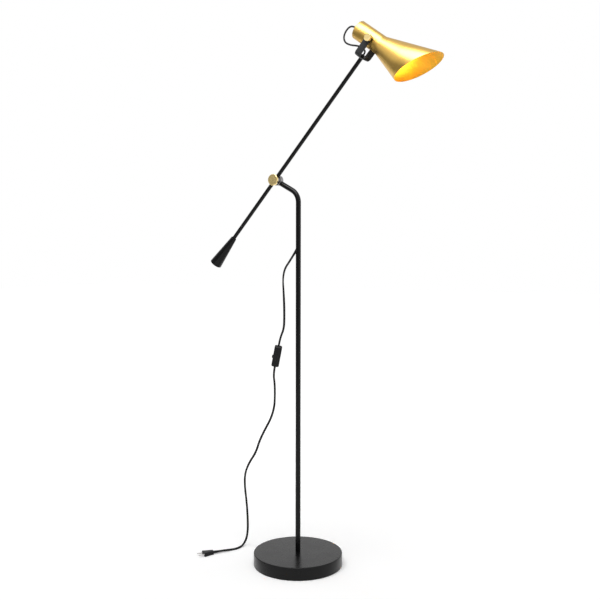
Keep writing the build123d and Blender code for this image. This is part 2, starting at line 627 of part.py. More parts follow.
# Head cable: out of the gland, round behind the neck and down into the nipple
gland_end = shade_pivot - shade_direction * gland_tip
nipple_mouth = arm_pivot + arm_direction * nipple_top
head_cable_route = [
    gland_end,
    gland_end - shade_direction * GLAND_LEAD,
    shade_pivot + Vector(-78.7, 0, 50.5),
    shade_pivot + Vector(-91.7, 0, 39.5),
    shade_pivot + Vector(-99.2, 0, 22.5),
    shade_pivot + Vector(-93.7, 0, 5.5),
    shade_pivot + Vector(-73.7, 0, -4),
    shade_pivot + Vector(-54.7, -2, -8),
    shade_pivot + Vector(-39.7, -4.5, -14),
    shade_pivot + Vector(-30.2, -4, -21),
    nipple_mouth + arm_direction * NIPPLE_LEAD,
    nipple_mouth,
]
with BuildPart() as head_cable:
    cord(head_cable_route, HEAD_CABLE_DIAMETER)
finish(head_cable, "head_cable")

# Switch: two shells that meet on a middle plane, a slide button and two screws
lean = radians(SWITCH_LEAN)
facing = radians(SWITCH_FACING)
switch_centre = Vector(*SWITCH_CENTRE)
switch_along = Vector(-sin(lean), 0, -cos(lean))
switch_out = Vector(cos(facing), sin(facing), 0)
switch_out = (switch_out - switch_along * switch_out.dot(switch_along)).normalized()
switch_middle = Plane(origin=switch_centre, x_dir=switch_along, z_dir=switch_out)
shell_depth = SWITCH_DEPTH / 2
button_seat = shell_depth - SWITCH_WALL
slot_length = BUTTON_LENGTH + BUTTON_TRAVEL + 2 * SLIP
button_rest = BUTTON_TRAVEL / 2


def switch_shell(plane):
    """Half of the switch's body on one side of its middle plane, hollow, with holes for its two screws."""
    for inset, mode in ((0, Mode.ADD), (SWITCH_WALL, Mode.SUBTRACT)):
        with BuildSketch(plane) as shell_outline:
            RectangleRounded(SWITCH_LENGTH - 2 * inset, SWITCH_WIDTH - 2 * inset, SWITCH_CORNER - inset)
        extrude(shell_outline.sketch, amount=shell_depth - inset, mode=mode)


screw_spots = [(-SWITCH_SCREW_SPACING / 2, 0), (SWITCH_SCREW_SPACING / 2, 0)]
with BuildPart() as switch_back:
    back_plane = Plane(origin=switch_centre, x_dir=switch_along, z_dir=switch_out * -1)
    switch_shell(back_plane)
    fillet(switch_back.faces().sort_by(Axis(switch_centre, switch_out))[0].edges(), SWITCH_EDGE)
    for spot in screw_spots:
        pillar = Plane(back_plane.from_local_coords(spot + (0,)), x_dir=switch_along, z_dir=back_plane.z_dir)
        bar(pillar, SWITCH_SCREW_HEAD + 2 * SWITCH_WALL, shell_depth)
        bar(pillar, SWITCH_SCREW_DIAMETER + 2 * SLIP, shell_depth, mode=Mode.SUBTRACT)
        bar(pillar.offset(shell_depth / 2), SWITCH_SCREW_HEAD + 2 * SLIP, shell_depth, mode=Mode.SUBTRACT)
finish(switch_back, "switch_back")

with BuildPart() as switch_front:
    switch_shell(switch_middle)
    fillet(switch_front.faces().sort_by(Axis(switch_centre, switch_out))[-1].edges(), SWITCH_EDGE)
    with BuildSketch(switch_middle) as slot:
        Rectangle(slot_length, BUTTON_WIDTH + 2 * SLIP)
    extrude(slot.sketch, amount=SWITCH_DEPTH, mode=Mode.SUBTRACT)
    for spot in screw_spots:
        pillar = Plane(switch_middle.from_local_coords(spot + (0,)), x_dir=switch_along, z_dir=switch_out)
        bar(pillar, SWITCH_SCREW_HEAD + 2 * SWITCH_WALL, shell_depth - SWITCH_WALL)
        bar(pillar, SWITCH_SCREW_DIAMETER + 2 * RUNNING, shell_depth - SWITCH_WALL, mode=Mode.SUBTRACT)
finish(switch_front, "switch_front")

with BuildPart() as switch_screws:
    for spot in screw_spots:
        pillar = Plane(back_plane.from_local_coords(spot + (0,)), x_dir=switch_along, z_dir=back_plane.z_dir)
        tip = pillar.offset(-shell_depth / 2)
        bar(tip, SWITCH_SCREW_DIAMETER, shell_depth)
        bar(pillar.offset(shell_depth / 2), SWITCH_SCREW_HEAD, SWITCH_SCREW_DIAMETER)
finish(switch_screws, "switch_screws")

with BuildPart() as switch_button:
    with BuildSketch(switch_middle.offset(button_seat - BUTTON_STEM)) as stem:
        with Locations((button_rest, 0)):
            Rectangle(BUTTON_LENGTH, BUTTON_WIDTH)
    extrude(stem.sketch, amount=BUTTON_STEM + SWITCH_WALL + BUTTON_RISE)
    top_face = switch_button.faces().sort_by(Axis(switch_centre, switch_out))[-1]
    fillet(top_face.edges(), BUTTON_RISE / 3)
    with BuildSketch(switch_middle.offset(button_seat - BUTTON_STEM)) as flange:
        with Locations((button_rest, 0)):
            Rectangle(BUTTON_LENGTH, BUTTON_WIDTH + 2 * BUTTON_FLANGE)
    extrude(flange.sketch, amount=BUTTON_STEM - AIR)
finish(switch_button, "switch_button")

# Plug: a flat body with a sleeve and two pins, lying on the floor at the end of the cord
heading = radians(PLUG_HEADING)
plug_direction = Vector(cos(heading), sin(heading), 0)
plug_start = Vector(*PLUG_START, PLUG_THICKNESS / 2)


def along_plug(distance):
    """The plane square to the plug at a distance from the start of its sleeve, facing its pins."""
    return Plane(origin=plug_start + plug_direction * distance, x_dir=(0, 0, 1), z_dir=plug_direction)


plug_face = PLUG_SLEEVE_LENGTH + PLUG_LENGTH
pin_row = along_plug(plug_face - PIN_EMBED)


def pin_seat(side):
    """The plane at the foot of one pin inside the plug, facing out of the plug."""
    foot = pin_row.from_local_coords((0, side * PIN_SPACING / 2, 0))
    return Plane(origin=foot, x_dir=(0, 0, 1), z_dir=plug_direction)


with BuildPart() as plug_sleeve:
    with BuildSketch(along_plug(0)):
        Circle(CORD_RELIEF_TIP / 2)
    with BuildSketch(along_plug(PLUG_SLEEVE_LENGTH)):
        Circle(PLUG_SLEEVE_DIAMETER / 2)
    loft()
finish(plug_sleeve, "plug_sleeve")

with BuildPart() as plug_body:
    with BuildSketch(along_plug(PLUG_SLEEVE_LENGTH)):
        RectangleRounded(PLUG_THICKNESS, PLUG_GRIP_WIDTH, PLUG_CORNER)
    with BuildSketch(along_plug(plug_face)):
        RectangleRounded(PLUG_THICKNESS, PLUG_WIDTH, PLUG_CORNER)
    loft()
    for side in (-1, 1):
        bar(pin_seat(side), PIN_DIAMETER, PLUG_LENGTH, mode=Mode.SUBTRACT)
finish(plug_body, "plug_body")

with BuildPart() as plug_pins:
    for side in (-1, 1):
        bar(pin_seat(side), PIN_DIAMETER - 2 * RUNNING, PIN_EMBED + PIN_LENGTH)
    pin_rims = plug_pins.edges().filter_by(GeomType.CIRCLE)
    fillet(pin_rims.group_by(Axis(plug_start, plug_direction))[-1], PIN_TIP_RADIUS)
finish(plug_pins, "plug_pins")

# Mains cord: from the post's strain relief down to the switch, and from the switch to the plug
switch_top = switch_centre - switch_along * (SWITCH_LENGTH / 2)
switch_bottom = switch_centre + switch_along * (SWITCH_LENGTH / 2)
relief_end = exit_point + exit_direction * CORD_RELIEF_LENGTH
upper_route = [
    relief_end,
    relief_end + exit_direction * RELIEF_LEAD,
    (-52.5, 3, 935),
    (-60.3, 4.2, 903),
    (-57, 4, 862),
    (-54.8, 4, 820),
    (-54.3, 4, 780),
    (-56, 4.3, 745),
    switch_top - switch_along * SWITCH_LEAD,
    switch_top,
]
with BuildPart() as cord_upper:
    cord(upper_route, CORD_DIAMETER)
finish(cord_upper, "cord_upper")

lower_route = [
    switch_bottom,
    switch_bottom + switch_along * SWITCH_LEAD,
    (-92.5, 6.8, 566),
    (-92, 6.8, 530),
    (-93.8, 7, 492),
    (-108, 7.9, 452),
    (-131.5, 9.4, 415),
    (-155, 11.2, 374),
    (-170, 12.5, 333),
    (-199.5, 14.3, 294),
    (-217.5, 15.6, 254),
    (-217.5, 15.7, 210),
    (-211.5, 16.5, 167),
    (-213, 24, 122),
    (-218.3, 34, 80),
    (-225.3, 42, 47),
    (-235.4, 48, 19.6),
    (-238, 30.8, 3.4),
    (-236.8, 2.4, 3.2),
    (-247, -17.5, 3.2),
    plug_start - plug_direction * PLUG_LEAD,
    plug_start,
]
with BuildPart() as cord_lower:
    cord(lower_route, CORD_DIAMETER)
finish(cord_lower, "cord_lower")
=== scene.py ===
"""Adjustable arm floor lamp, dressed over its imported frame. Metres, +Z up, the arm reaches towards +X."""
import json
from math import cos, pi, radians, sin, tan

import bpy
from mathutils import Matrix, Vector


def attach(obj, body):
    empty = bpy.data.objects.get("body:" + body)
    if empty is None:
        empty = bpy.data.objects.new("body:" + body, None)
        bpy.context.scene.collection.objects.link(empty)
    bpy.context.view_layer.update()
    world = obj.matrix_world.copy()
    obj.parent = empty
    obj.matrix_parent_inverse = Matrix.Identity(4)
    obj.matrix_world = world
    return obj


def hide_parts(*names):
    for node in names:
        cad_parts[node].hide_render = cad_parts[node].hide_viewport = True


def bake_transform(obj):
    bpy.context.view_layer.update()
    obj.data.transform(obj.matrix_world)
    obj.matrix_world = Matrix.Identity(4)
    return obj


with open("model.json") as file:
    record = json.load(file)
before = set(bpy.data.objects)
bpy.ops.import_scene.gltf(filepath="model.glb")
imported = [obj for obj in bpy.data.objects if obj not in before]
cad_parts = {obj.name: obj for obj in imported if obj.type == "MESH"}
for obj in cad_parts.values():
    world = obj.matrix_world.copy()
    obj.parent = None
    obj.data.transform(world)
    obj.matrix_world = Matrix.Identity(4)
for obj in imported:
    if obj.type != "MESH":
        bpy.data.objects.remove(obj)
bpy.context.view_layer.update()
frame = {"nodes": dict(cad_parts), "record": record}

MM = 0.001
TOUCHING = 1e-6
ON_RING = 1e-5

# Places and directions of the lamp's main lines
ARM_ANGLE = radians(48.35)
SHADE_DROP = radians(36.9)
UP_ARM = Vector((cos(ARM_ANGLE), 0, sin(ARM_ANGLE)))
ACROSS_ARM = Vector((-sin(ARM_ANGLE), 0, cos(ARM_ANGLE)))
TO_MOUTH = Vector((cos(SHADE_DROP), 0, -sin(SHADE_DROP)))
FRONT = Vector((0, -1, 0))
REAR = Vector((0, 1, 0))
UP = Vector((0, 0, 1))
ARM_PIVOT = Vector((-76.4, -16.05, 1212.4)) * MM
PIVOT_ON_POST = Vector((-76.4, 0, 1212.4)) * MM
POST_END = Vector((-76.4, 0, 1209.4)) * MM
ARM_REACH = 453 * MM
YOKE_REACH = 60.4 * MM
SHADE_PIVOT = ARM_PIVOT + UP_ARM * (ARM_REACH + YOKE_REACH)
PLUG_HEADING = radians(237)
TO_PINS = Vector((cos(PLUG_HEADING), sin(PLUG_HEADING), 0))
PLUG_START = Vector((-267.5, -57.5, 6.5)) * MM
SWITCH_LEAN = radians(12.4)
SWITCH_FACING = radians(212)
DOWN_SWITCH = Vector((-sin(SWITCH_LEAN), 0, -cos(SWITCH_LEAN)))
SWITCH_CENTRE = Vector((-82.6, 3.6, 656.7)) * MM
EXIT_DROP = radians(54)
OUT_OF_POST = Vector((-cos(EXIT_DROP), 0, -sin(EXIT_DROP)))
EXIT_POINT = Vector((-6.5, 0, 994)) * MM


# Modelling by hand
def deselect():
    bpy.ops.object.select_all(action="DESELECT")


def take_up(piece):
    """Makes one piece the only selected and active object."""
    deselect()
    piece.select_set(True)
    bpy.context.view_layer.objects.active = piece


def edit(piece):
    take_up(piece)
    bpy.ops.object.mode_set(mode="EDIT")


def leave_edit():
    bpy.ops.object.mode_set(mode="OBJECT")


def clear_picks(piece, kind):
    """Deselects all of a mesh in one select mode."""
    edit(piece)
    bpy.ops.mesh.select_mode(type=kind)
    bpy.ops.mesh.select_all(action="DESELECT")
    leave_edit()


def pick_edges(piece, chosen):
    """Selects the edges whose two ends both pass a test, and stays in edit mode."""
    clear_picks(piece, "EDGE")
    points = piece.data.vertices
    for edge in piece.data.edges:
        edge.select = all(chosen(points[i].co) for i in edge.vertices)
    edit(piece)


def pick_faces(piece, chosen):
    """Selects the faces whose middle and normal pass a test, and stays in edit mode."""
    clear_picks(piece, "FACE")
    for face in piece.data.polygons:
        face.select = chosen(face.center, face.normal)
    edit(piece)


def face_outwards(piece):
    edit(piece)
    bpy.ops.mesh.select_all(action="SELECT")
    bpy.ops.mesh.remove_doubles(threshold=TOUCHING)
    bpy.ops.mesh.normals_make_consistent(inside=False)
    leave_edit()


def apply_modifier(piece, kind, **settings):
    take_up(piece)
    modifier = piece.modifiers.new(kind.title(), kind)
    for setting, value in settings.items():
        setattr(modifier, setting, value)
    bpy.ops.object.modifier_apply(modifier=modifier.name)


def placement(origin, along, across):
    """The frame whose z axis runs along a piece and whose x axis points across it."""
    z = Vector(along).normalized()
    x = Vector(across)
    x = (x - z * x.dot(z)).normalized()
    matrix = Matrix((x, z.cross(x), z)).transposed().to_4x4()
    matrix.translation = origin
    return matrix


def settle(piece, place):
    """Puts a piece in its place, with its object left at the origin."""
    piece.matrix_world = place @ piece.matrix_world
    take_up(piece)
    bpy.ops.object.transform_apply(location=True, rotation=True, scale=True)


def smooth(piece, degrees=35):
    take_up(piece)
    bpy.ops.object.shade_smooth_by_angle(angle=radians(degrees))


def turned(name, stations, rounds=(), segments=96, hollow=False):
    """A turned piece on the z axis: a disc or ring drawn out and resized from station to station in mm.
    A hollow piece's last station is its first. Rounds are (height, radius, size, steps) of edges to round."""
    deselect()
    height, radius = stations[0]
    bpy.ops.mesh.primitive_circle_add(
        vertices=segments,
        radius=radius * MM,
        fill_type="NOTHING" if hollow else "NGON",
        location=(0, 0, height * MM),
    )
    piece = bpy.context.object
    piece.name = name
    edit(piece)
    bpy.ops.mesh.select_mode(type="VERT")
    bpy.ops.mesh.select_all(action="SELECT")
    for next_height, next_radius in stations[1:]:
        rise = (0, 0, (next_height - height) * MM)
        bpy.ops.mesh.extrude_region_move(TRANSFORM_OT_translate={"value": rise})
        share = next_radius / radius
        bpy.ops.transform.resize(value=(share, share, 1), center_override=(0, 0, next_height * MM))
        height, radius = next_height, next_radius
    leave_edit()
    bpy.ops.object.transform_apply(location=True, rotation=True, scale=True)
    face_outwards(piece)
    for at_height, at_radius, size, steps in rounds:

        def on_ring(point):
            on_height = abs(point.z - at_height * MM) < ON_RING
            return on_height and abs(point.xy.length - at_radius * MM) < ON_RING

        pick_edges(piece, on_ring)
        bpy.ops.mesh.bevel(offset=size * MM, segments=steps, affect="EDGES", clamp_overlap=False)
        leave_edit()
    return piece


def groove(foot, radius, depth, floor_from, floor_to, out):
    """Stations of a groove turned round a piece, its floor and far edge measured from its foot."""
    low = radius - depth
    return [(foot, radius), (foot + floor_from, low), (foot + floor_to, low), (foot + out, radius)]


def dress(piece, body, slot, material, *nodes):
    """Finishes a piece: its material, the body it rides on and the solids it stands for."""
    piece.data.materials.clear()
    piece.data.materials.append(material)
    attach(piece, body)
    if nodes:
        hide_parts(*nodes)
    return piece


# Finishes
def new_finish(name, colour, roughness, metallic=0.0):
    material = bpy.data.materials.new(name)
    material.use_nodes = True
    shader = material.node_tree.nodes["Principled BSDF"]
    shader.inputs["Base Color"].default_value = (*colour, 1)
    shader.inputs["Roughness"].default_value = roughness
    shader.inputs["Metallic"].default_value = metallic
    return material, material.node_tree, shader


def add(tree, kind, **values):
    """A node with its settings and the values of its inputs."""
    node = tree.nodes.new(kind)
    for key, value in values.items():
        if key in node.inputs:
            node.inputs[key].default_value = value
        else:
            setattr(node, key, value)
    return node


def surface_points(tree, turn=(0, 0, 0), centre=(0, 0, 0), stretch=(1, 1, 1)):
    """Object coordinates moved to a centre, turned, then stretched."""
    place = add(tree, "ShaderNodeTexCoord")
    centred = add(tree, "ShaderNodeVectorMath", operation="SUBTRACT")
    centred.inputs[1].default_value = centre
    turned_points = add(tree, "ShaderNodeMapping", Rotation=turn)
    stretched = add(tree, "ShaderNodeMapping", Scale=stretch)
    tree.links.new(place.outputs["Object"], centred.inputs[0])
    tree.links.new(centred.outputs[0], turned_points.inputs["Vector"])
    tree.links.new(turned_points.outputs[0], stretched.inputs["Vector"])
    return stretched.outputs[0]


def noise(tree, points, scale, detail=2.0, roughness=0.5):
    texture = add(tree, "ShaderNodeTexNoise", Scale=scale, Detail=detail, Roughness=roughness)
    tree.links.new(points, texture.inputs["Vector"])
    return texture.outputs["Fac"]


def ranged(tree, value, low, high, start=0.3, end=0.7):
    """A noise value spread from low to high."""
    node = add(tree, "ShaderNodeMapRange")
    node.inputs["From Min"].default_value = start
    node.inputs["From Max"].default_value = end
    node.inputs["To Min"].default_value = low
    node.inputs["To Max"].default_value = high
    tree.links.new(value, node.inputs["Value"])
    return node.outputs["Result"]


def tinted(tree, shader, value, dark, light, start=0.3, end=0.7):
    """A base colour that varies between two tints."""
    ramp = add(tree, "ShaderNodeValToRGB")
    ramp.color_ramp.elements[0].position = start
    ramp.color_ramp.elements[0].color = (*dark, 1)
    ramp.color_ramp.elements[1].position = end
    ramp.color_ramp.elements[1].color = (*light, 1)
    tree.links.new(value, ramp.inputs["Fac"])
    tree.links.new(ramp.outputs["Color"], shader.inputs["Base Color"])


def bumped(tree, shader, value, strength, depth):
    bump = add(tree, "ShaderNodeBump", Strength=strength, Distance=depth)
    tree.links.new(value, bump.inputs["Height"])
    tree.links.new(bump.outputs["Normal"], shader.inputs["Normal"])


def powder_coat(name, dark, light, gloss, roughness):
    """Satin powder coat with a fine orange peel."""
    material, tree, shader = new_finish(name, light, roughness)
    shader.inputs["Specular IOR Level"].default_value = gloss
    points = surface_points(tree)
    peel = noise(tree, points, 850, 2.5)
    patches = noise(tree, points, 22, 3)
    tinted(tree, shader, patches, dark, light)
    tree.links.new(ranged(tree, patches, roughness - 0.03, roughness + 0.04), shader.inputs["Roughness"])
    bumped(tree, shader, peel, 0.025, 0.00012)
    return material


def lathe_points(tree, along, centre, fineness):
    """The distance from a turning axis and the height along it, so that a pattern runs in rings."""
    turn = Vector(along).rotation_difference(UP).to_euler()
    points = surface_points(tree, turn, centre, (fineness, fineness, fineness))
    parts = add(tree, "ShaderNodeSeparateXYZ")
    flat = add(tree, "ShaderNodeCombineXYZ")
    away = add(tree, "ShaderNodeVectorMath", operation="LENGTH")
    rings = add(tree, "ShaderNodeCombineXYZ")
    tree.links.new(points, parts.inputs[0])
    tree.links.new(parts.outputs["X"], flat.inputs["X"])
    tree.links.new(parts.outputs["Y"], flat.inputs["Y"])
    tree.links.new(flat.outputs[0], away.inputs[0])
    tree.links.new(away.outputs["Value"], rings.inputs["X"])
    tree.links.new(parts.outputs["Z"], rings.inputs["Z"])
    return rings.outputs[0]


def spun_brass(name, along, centre, dark, light, rough_low, rough_high, ring_relief=0.1):
    """Satin brass with the fine rings that spinning and brushing leave round its axis."""
    material, tree, shader = new_finish(name, light, rough_low, 1.0)
    brush = noise(tree, lathe_points(tree, along, centre, 2600), 1, 3, 0.6)
    clouds = noise(tree, surface_points(tree), 28, 3)
    tinted(tree, shader, brush, dark, light)
    mixed = add(tree, "ShaderNodeMath", operation="ADD")
    tree.links.new(ranged(tree, brush, 0, rough_high - rough_low), mixed.inputs[0])
    tree.links.new(ranged(tree, clouds, rough_low, rough_low + 0.03), mixed.inputs[1])
    tree.links.new(mixed.outputs[0], shader.inputs["Roughness"])
    bumped(tree, shader, brush, ring_relief, 0.00006)
    return material


def steel_finish(name, colour, roughness):
    """Plated steel with faint brushing."""
    material, tree, shader = new_finish(name, colour, roughness, 1.0)
    brush = noise(tree, surface_points(tree, stretch=(900, 900, 60)), 1, 2)
    dark = tuple(0.85 * part for part in colour)
    tinted(tree, shader, brush, dark, colour)
    tree.links.new(ranged(tree, brush, roughness - 0.04, roughness + 0.06), shader.inputs["Roughness"])
    bumped(tree, shader, brush, 0.06, 0.00005)
    return material


def moulded_plastic():
    """Black moulded plastic with a spark-eroded grain."""
    material, tree, shader = new_finish("black_moulding", (0.008, 0.008, 0.0085), 0.48)
    shader.inputs["Specular IOR Level"].default_value = 0.2
    points = surface_points(tree)
    grain = noise(tree, points, 1900, 2)
    handling = noise(tree, points, 60, 2)
    tinted(tree, shader, handling, (0.006, 0.006, 0.0065), (0.01, 0.01, 0.0105))
    tree.links.new(ranged(tree, handling, 0.43, 0.54), shader.inputs["Roughness"])
    bumped(tree, shader, grain, 0.25, 0.0001)
    return material


def cord_jacket(name, dark, light):
    """Matte flexible jacket with faint drawn lines and a little dust."""
    material, tree, shader = new_finish(name, light, 0.6)
    shader.inputs["Specular IOR Level"].default_value = 0.15
    points = surface_points(tree)
    grain = noise(tree, points, 2400, 2)
    dust = noise(tree, points, 90, 3)
    tinted(tree, shader, dust, dark, light)
    tree.links.new(ranged(tree, dust, 0.52, 0.68), shader.inputs["Roughness"])
    bumped(tree, shader, grain, 0.15, 0.00008)
    return material


def felt_finish():
    """Pressed black felt."""
    material, tree, shader = new_finish("black_felt", (0.03, 0.03, 0.03), 0.95)
    shader.inputs["Sheen Weight"].default_value = 0.4
    fibres = noise(tree, surface_points(tree), 1500, 4, 0.7)
    tinted(tree, shader, fibres, (0.018, 0.018, 0.018), (0.05, 0.05, 0.05))
    bumped(tree, shader, fibres, 0.6, 0.0004)
    return material


def cast_finish():
    """Rough cast iron."""
    material, tree, shader = new_finish("cast_weight", (0.12, 0.12, 0.12), 0.75, 0.6)
    sand = noise(tree, surface_points(tree), 420, 4, 0.65)
    tinted(tree, shader, sand, (0.07, 0.07, 0.07), (0.16, 0.155, 0.15))
    bumped(tree, shader, sand, 0.5, 0.0006)
    return material


def opal_glass():
    """Frosted white lamp glass."""
    material, tree, shader = new_finish("opal_glass", (0.93, 0.92, 0.89), 0.35)
    shader.inputs["Transmission Weight"].default_value = 0.35
    frost = noise(tree, surface_points(tree), 700, 2)
    tree.links.new(ranged(tree, frost, 0.3, 0.45), shader.inputs["Roughness"])
    bumped(tree, shader, frost, 0.05, 0.00005)
    return material


BRASS_DARK = (0.92, 0.70, 0.30)
BRASS_LIGHT = (0.98, 0.78, 0.37)
SHADE_DARK = (0.66, 0.40, 0.092)
SHADE_LIGHT = (0.77, 0.51, 0.14)
# The shade's inner faces get their own deeper, more saturated orange brass: partly the metal's own colour,
# partly painted warm light and inter-reflection from inside the shade.
LINING_PAINTED_WARM_DARK = (0.66, 0.37, 0.035)
LINING_PAINTED_WARM_LIGHT = (0.71, 0.40, 0.045)
COAT_DARK = (0.003, 0.003, 0.0032)
COAT_LIGHT = (0.005, 0.005, 0.0052)
STRIP_DARK = (0.028, 0.029, 0.0305)
STRIP_LIGHT = (0.036, 0.037, 0.0385)
black_coat = powder_coat("black_powder_coat", COAT_DARK, COAT_LIGHT, 0.19, 0.27)
strip_coat = powder_coat("satin_strip_coat", STRIP_DARK, STRIP_LIGHT, 0.21, 0.36)
shade_brass = spun_brass("spun_shade_brass", TO_MOUTH, SHADE_PIVOT, SHADE_DARK, SHADE_LIGHT, 0.27, 0.33)
# Inner-face brass whose colour carries painted warm light from inside the shade.
lining_brass_painted_warm = spun_brass("shade_lining_painted_warm_light", TO_MOUTH, SHADE_PIVOT, LINING_PAINTED_WARM_DARK, LINING_PAINTED_WARM_LIGHT, 0.48, 0.52, 0.02)
knob_brass = spun_brass("turned_knob_brass", REAR, ARM_PIVOT, BRASS_DARK, BRASS_LIGHT, 0.28, 0.36)
thumb_brass = spun_brass("turned_thumb_brass", REAR, SHADE_PIVOT, BRASS_DARK, BRASS_LIGHT, 0.28, 0.36)
plated_steel = steel_finish("plated_steel", (0.62, 0.61, 0.6), 0.3)
pivot_steel = steel_finish("pivot_steel", (0.34, 0.335, 0.335), 0.36)
moulding = moulded_plastic()
jacket = cord_jacket("cord_jacket", (0.010, 0.010, 0.0105), (0.018, 0.018, 0.0185))
cable_jacket = cord_jacket("head_cable_jacket", (0.02, 0.02, 0.021), (0.035, 0.035, 0.037))
opal = opal_glass()
SLOT_FINISHES = {
    "black_coat": black_coat,
    "brass": shade_brass,
    "iron": cast_finish(),
    "felt": felt_finish(),
    "steel": plated_steel,
    "pivot_steel": pivot_steel,
    "black_plastic": moulding,
    "cord": jacket,
    "lamp_glass": opal,
}
for subpart in frame["record"]["subparts"]:
    solid = frame["nodes"][subpart["node"]]
    solid.data.materials.clear()
    solid.data.materials.append(SLOT_FINISHES[subpart["material_slot"]])

# Camera at the photograph's view
camera_data = bpy.data.cameras.new("camera")
camera_data.lens = 48.53
camera_data.sensor_width = 36
camera = bpy.data.objects.new("camera", camera_data)
camera.location = (1.3288, -2.1416, 0.9703)
camera.rotation_euler = (radians(87), radians(-0.082), radians(31.70))
bpy.context.scene.collection.objects.link(camera)
bpy.context.scene.camera = camera
bpy.context.scene.view_settings.view_transform = "Standard"


# Cords: each follows a smooth line through its route
def route_line(name, route, tilts=()):
    """A smooth open line with a route's points as its control points, turned about itself by the tilts."""
    curve = bpy.data.curves.new(name, "CURVE")
    curve.dimensions = "3D"
    curve.resolution_u = 10
    curve.twist_mode = "MINIMUM"
    line = curve.splines.new("NURBS")
    line.points.add(len(route) - 1)
    for point, place in zip(line.points, route):
        point.co = (*place, 1)
    for point, tilt in zip(line.points, tilts):
        point.tilt = radians(tilt)
    line.order_u = 3
    line.use_endpoint_u = True
    piece = bpy.data.objects.new(name, curve)
    bpy.context.scene.collection.objects.link(piece)
    bpy.context.view_layer.update()
    centreline = bpy.data.meshes.new_from_object(piece)
    path = [point.co.copy() for point in centreline.vertices]
    bpy.data.meshes.remove(centreline)
    return piece, path


def flat_section(name, width, thickness):
    """The outline of two cores side by side, with a shallow groove between them."""
    curve = bpy.data.curves.new(name, "CURVE")
    curve.dimensions = "2D"
    curve.resolution_u = 3
    outline = curve.splines.new("NURBS")
    reach = width / 2
    half = thickness / 2
    core = 0.45 * reach
    crest = 1.1 * half
    waist = 0.72 * half
    spread = 1.06
    corners = [
        (reach, 0), (reach, half), (core, crest), (0, waist), (-core, crest), (-reach, half),
        (-reach, 0), (-reach, -half), (-core, -crest), (0, -waist), (core, -crest), (reach, -half),
    ]
    outline.points.add(len(corners) - 1)
    for point, (x, y) in zip(outline.points, corners):
        point.co = (x * spread, y * spread, 0, 1)
    outline.use_cyclic_u = True
    outline.order_u = 3
    section = bpy.data.objects.new(name, curve)
    bpy.context.scene.collection.objects.link(section)
    return section


def as_tube(piece, section=None, diameter=0.0):
    """Gives a line its section and makes it a closed mesh."""
    if section:
        piece.data.bevel_mode = "OBJECT"
        piece.data.bevel_object = section
    else:
        piece.data.bevel_depth = diameter / 2
        piece.data.bevel_resolution = 5
    piece.data.use_fill_caps = True
    take_up(piece)
    bpy.ops.object.convert(target="MESH")
    tube = bpy.context.object
    face_outwards(tube)
    smooth(tube, 50)
    return tube


CORD_WIDTH = 6 * MM
CORD_THICKNESS = 4.4 * MM
HEAD_CABLE_DIAMETER = 5.2 * MM
SWITCH_HALF = 34.5
SWITCH_LEAD = 26
RELIEF_LENGTH = 20
GLAND_REACH = 72.2
NIPPLE_REACH = 464.5
switch_top = SWITCH_CENTRE - DOWN_SWITCH * SWITCH_HALF * MM
switch_bottom = SWITCH_CENTRE + DOWN_SWITCH * SWITCH_HALF * MM
relief_end = EXIT_POINT + OUT_OF_POST * RELIEF_LENGTH * MM
gland_end = SHADE_PIVOT - TO_MOUTH * GLAND_REACH * MM
nipple_mouth = ARM_PIVOT + UP_ARM * NIPPLE_REACH * MM


def in_metres(*points):
    return [Vector(point) * MM for point in points]


upper_route = [
    relief_end,
    relief_end + OUT_OF_POST * 25 * MM,
    *in_metres(
        (-52.5, 3, 935), (-60.3, 4.2, 903), (-57, 4, 862), (-54.8, 4, 820), (-54.3, 4, 780), (-56, 4.3, 745)
    ),
    switch_top - DOWN_SWITCH * SWITCH_LEAD * MM,
    switch_top,
]
lower_route = [
    switch_bottom,
    switch_bottom + DOWN_SWITCH * SWITCH_LEAD * MM,
    *in_metres(
        (-92.5, 6.8, 566), (-92, 6.8, 530), (-93.8, 7, 492), (-108, 7.9, 452), (-131.5, 9.4, 415),
        (-155, 11.2, 374), (-170, 12.5, 333), (-199.5, 14.3, 294), (-217.5, 15.6, 254),
        (-217.5, 15.7, 210), (-211.5, 16.5, 167), (-213, 24, 122), (-218.3, 34, 80), (-225.3, 42, 47),
        (-235.4, 48, 19.6), (-238, 30.8, 3.6), (-236.8, 2.4, 3.4), (-247, -17.5, 3.4),
    ),
    PLUG_START - TO_PINS * 19 * MM,
    PLUG_START,
]
head_route = [
    gland_end,
    gland_end - TO_MOUTH * 10 * MM,
    *(
        SHADE_PIVOT + offset
        for offset in in_metres(
            (-78.7, 0, 50.5), (-91.7, 0, 39.5), (-99.2, 0, 22.5), (-93.7, 0, 5.5),
            (-73.7, 0, -4), (-54.7, -2, -8), (-39.7, -4.5, -14), (-30.2, -4, -21),
        )
    ),
    nipple_mouth + UP_ARM * 9 * MM,
    nipple_mouth,
]
UPPER_TILTS = (180, 180, 170, 150, 120, 100, 85, 70, 60, 60)
LOWER_TILTS = (40, 50, 65, 60, 40, 30, 30, 10, 35, 50, 60, 60, 50, 40, 30, 30, 40, 60, 80, 90, 90, 90)
cord_section = flat_section("cord_section", CORD_WIDTH, CORD_THICKNESS)
upper_cord, upper_path = route_line("mains_cord_upper", upper_route, UPPER_TILTS)
upper_cord = as_tube(upper_cord, cord_section)
lower_cord, lower_path = route_line("mains_cord_lower", lower_route, LOWER_TILTS)
lower_cord = as_tube(lower_cord, cord_section)
bpy.data.objects.remove(cord_section)
head_cable, head_path = route_line("shade_cable", head_route)
head_cable = as_tube(head_cable, diameter=HEAD_CABLE_DIAMETER)
dress(upper_cord, "stand", "cord", jacket, "cord_upper")
dress(lower_cord, "stand", "cord", jacket, "cord_lower")
head_cable.data.materials.append(cable_jacket)
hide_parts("head_cable")
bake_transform(head_cable)

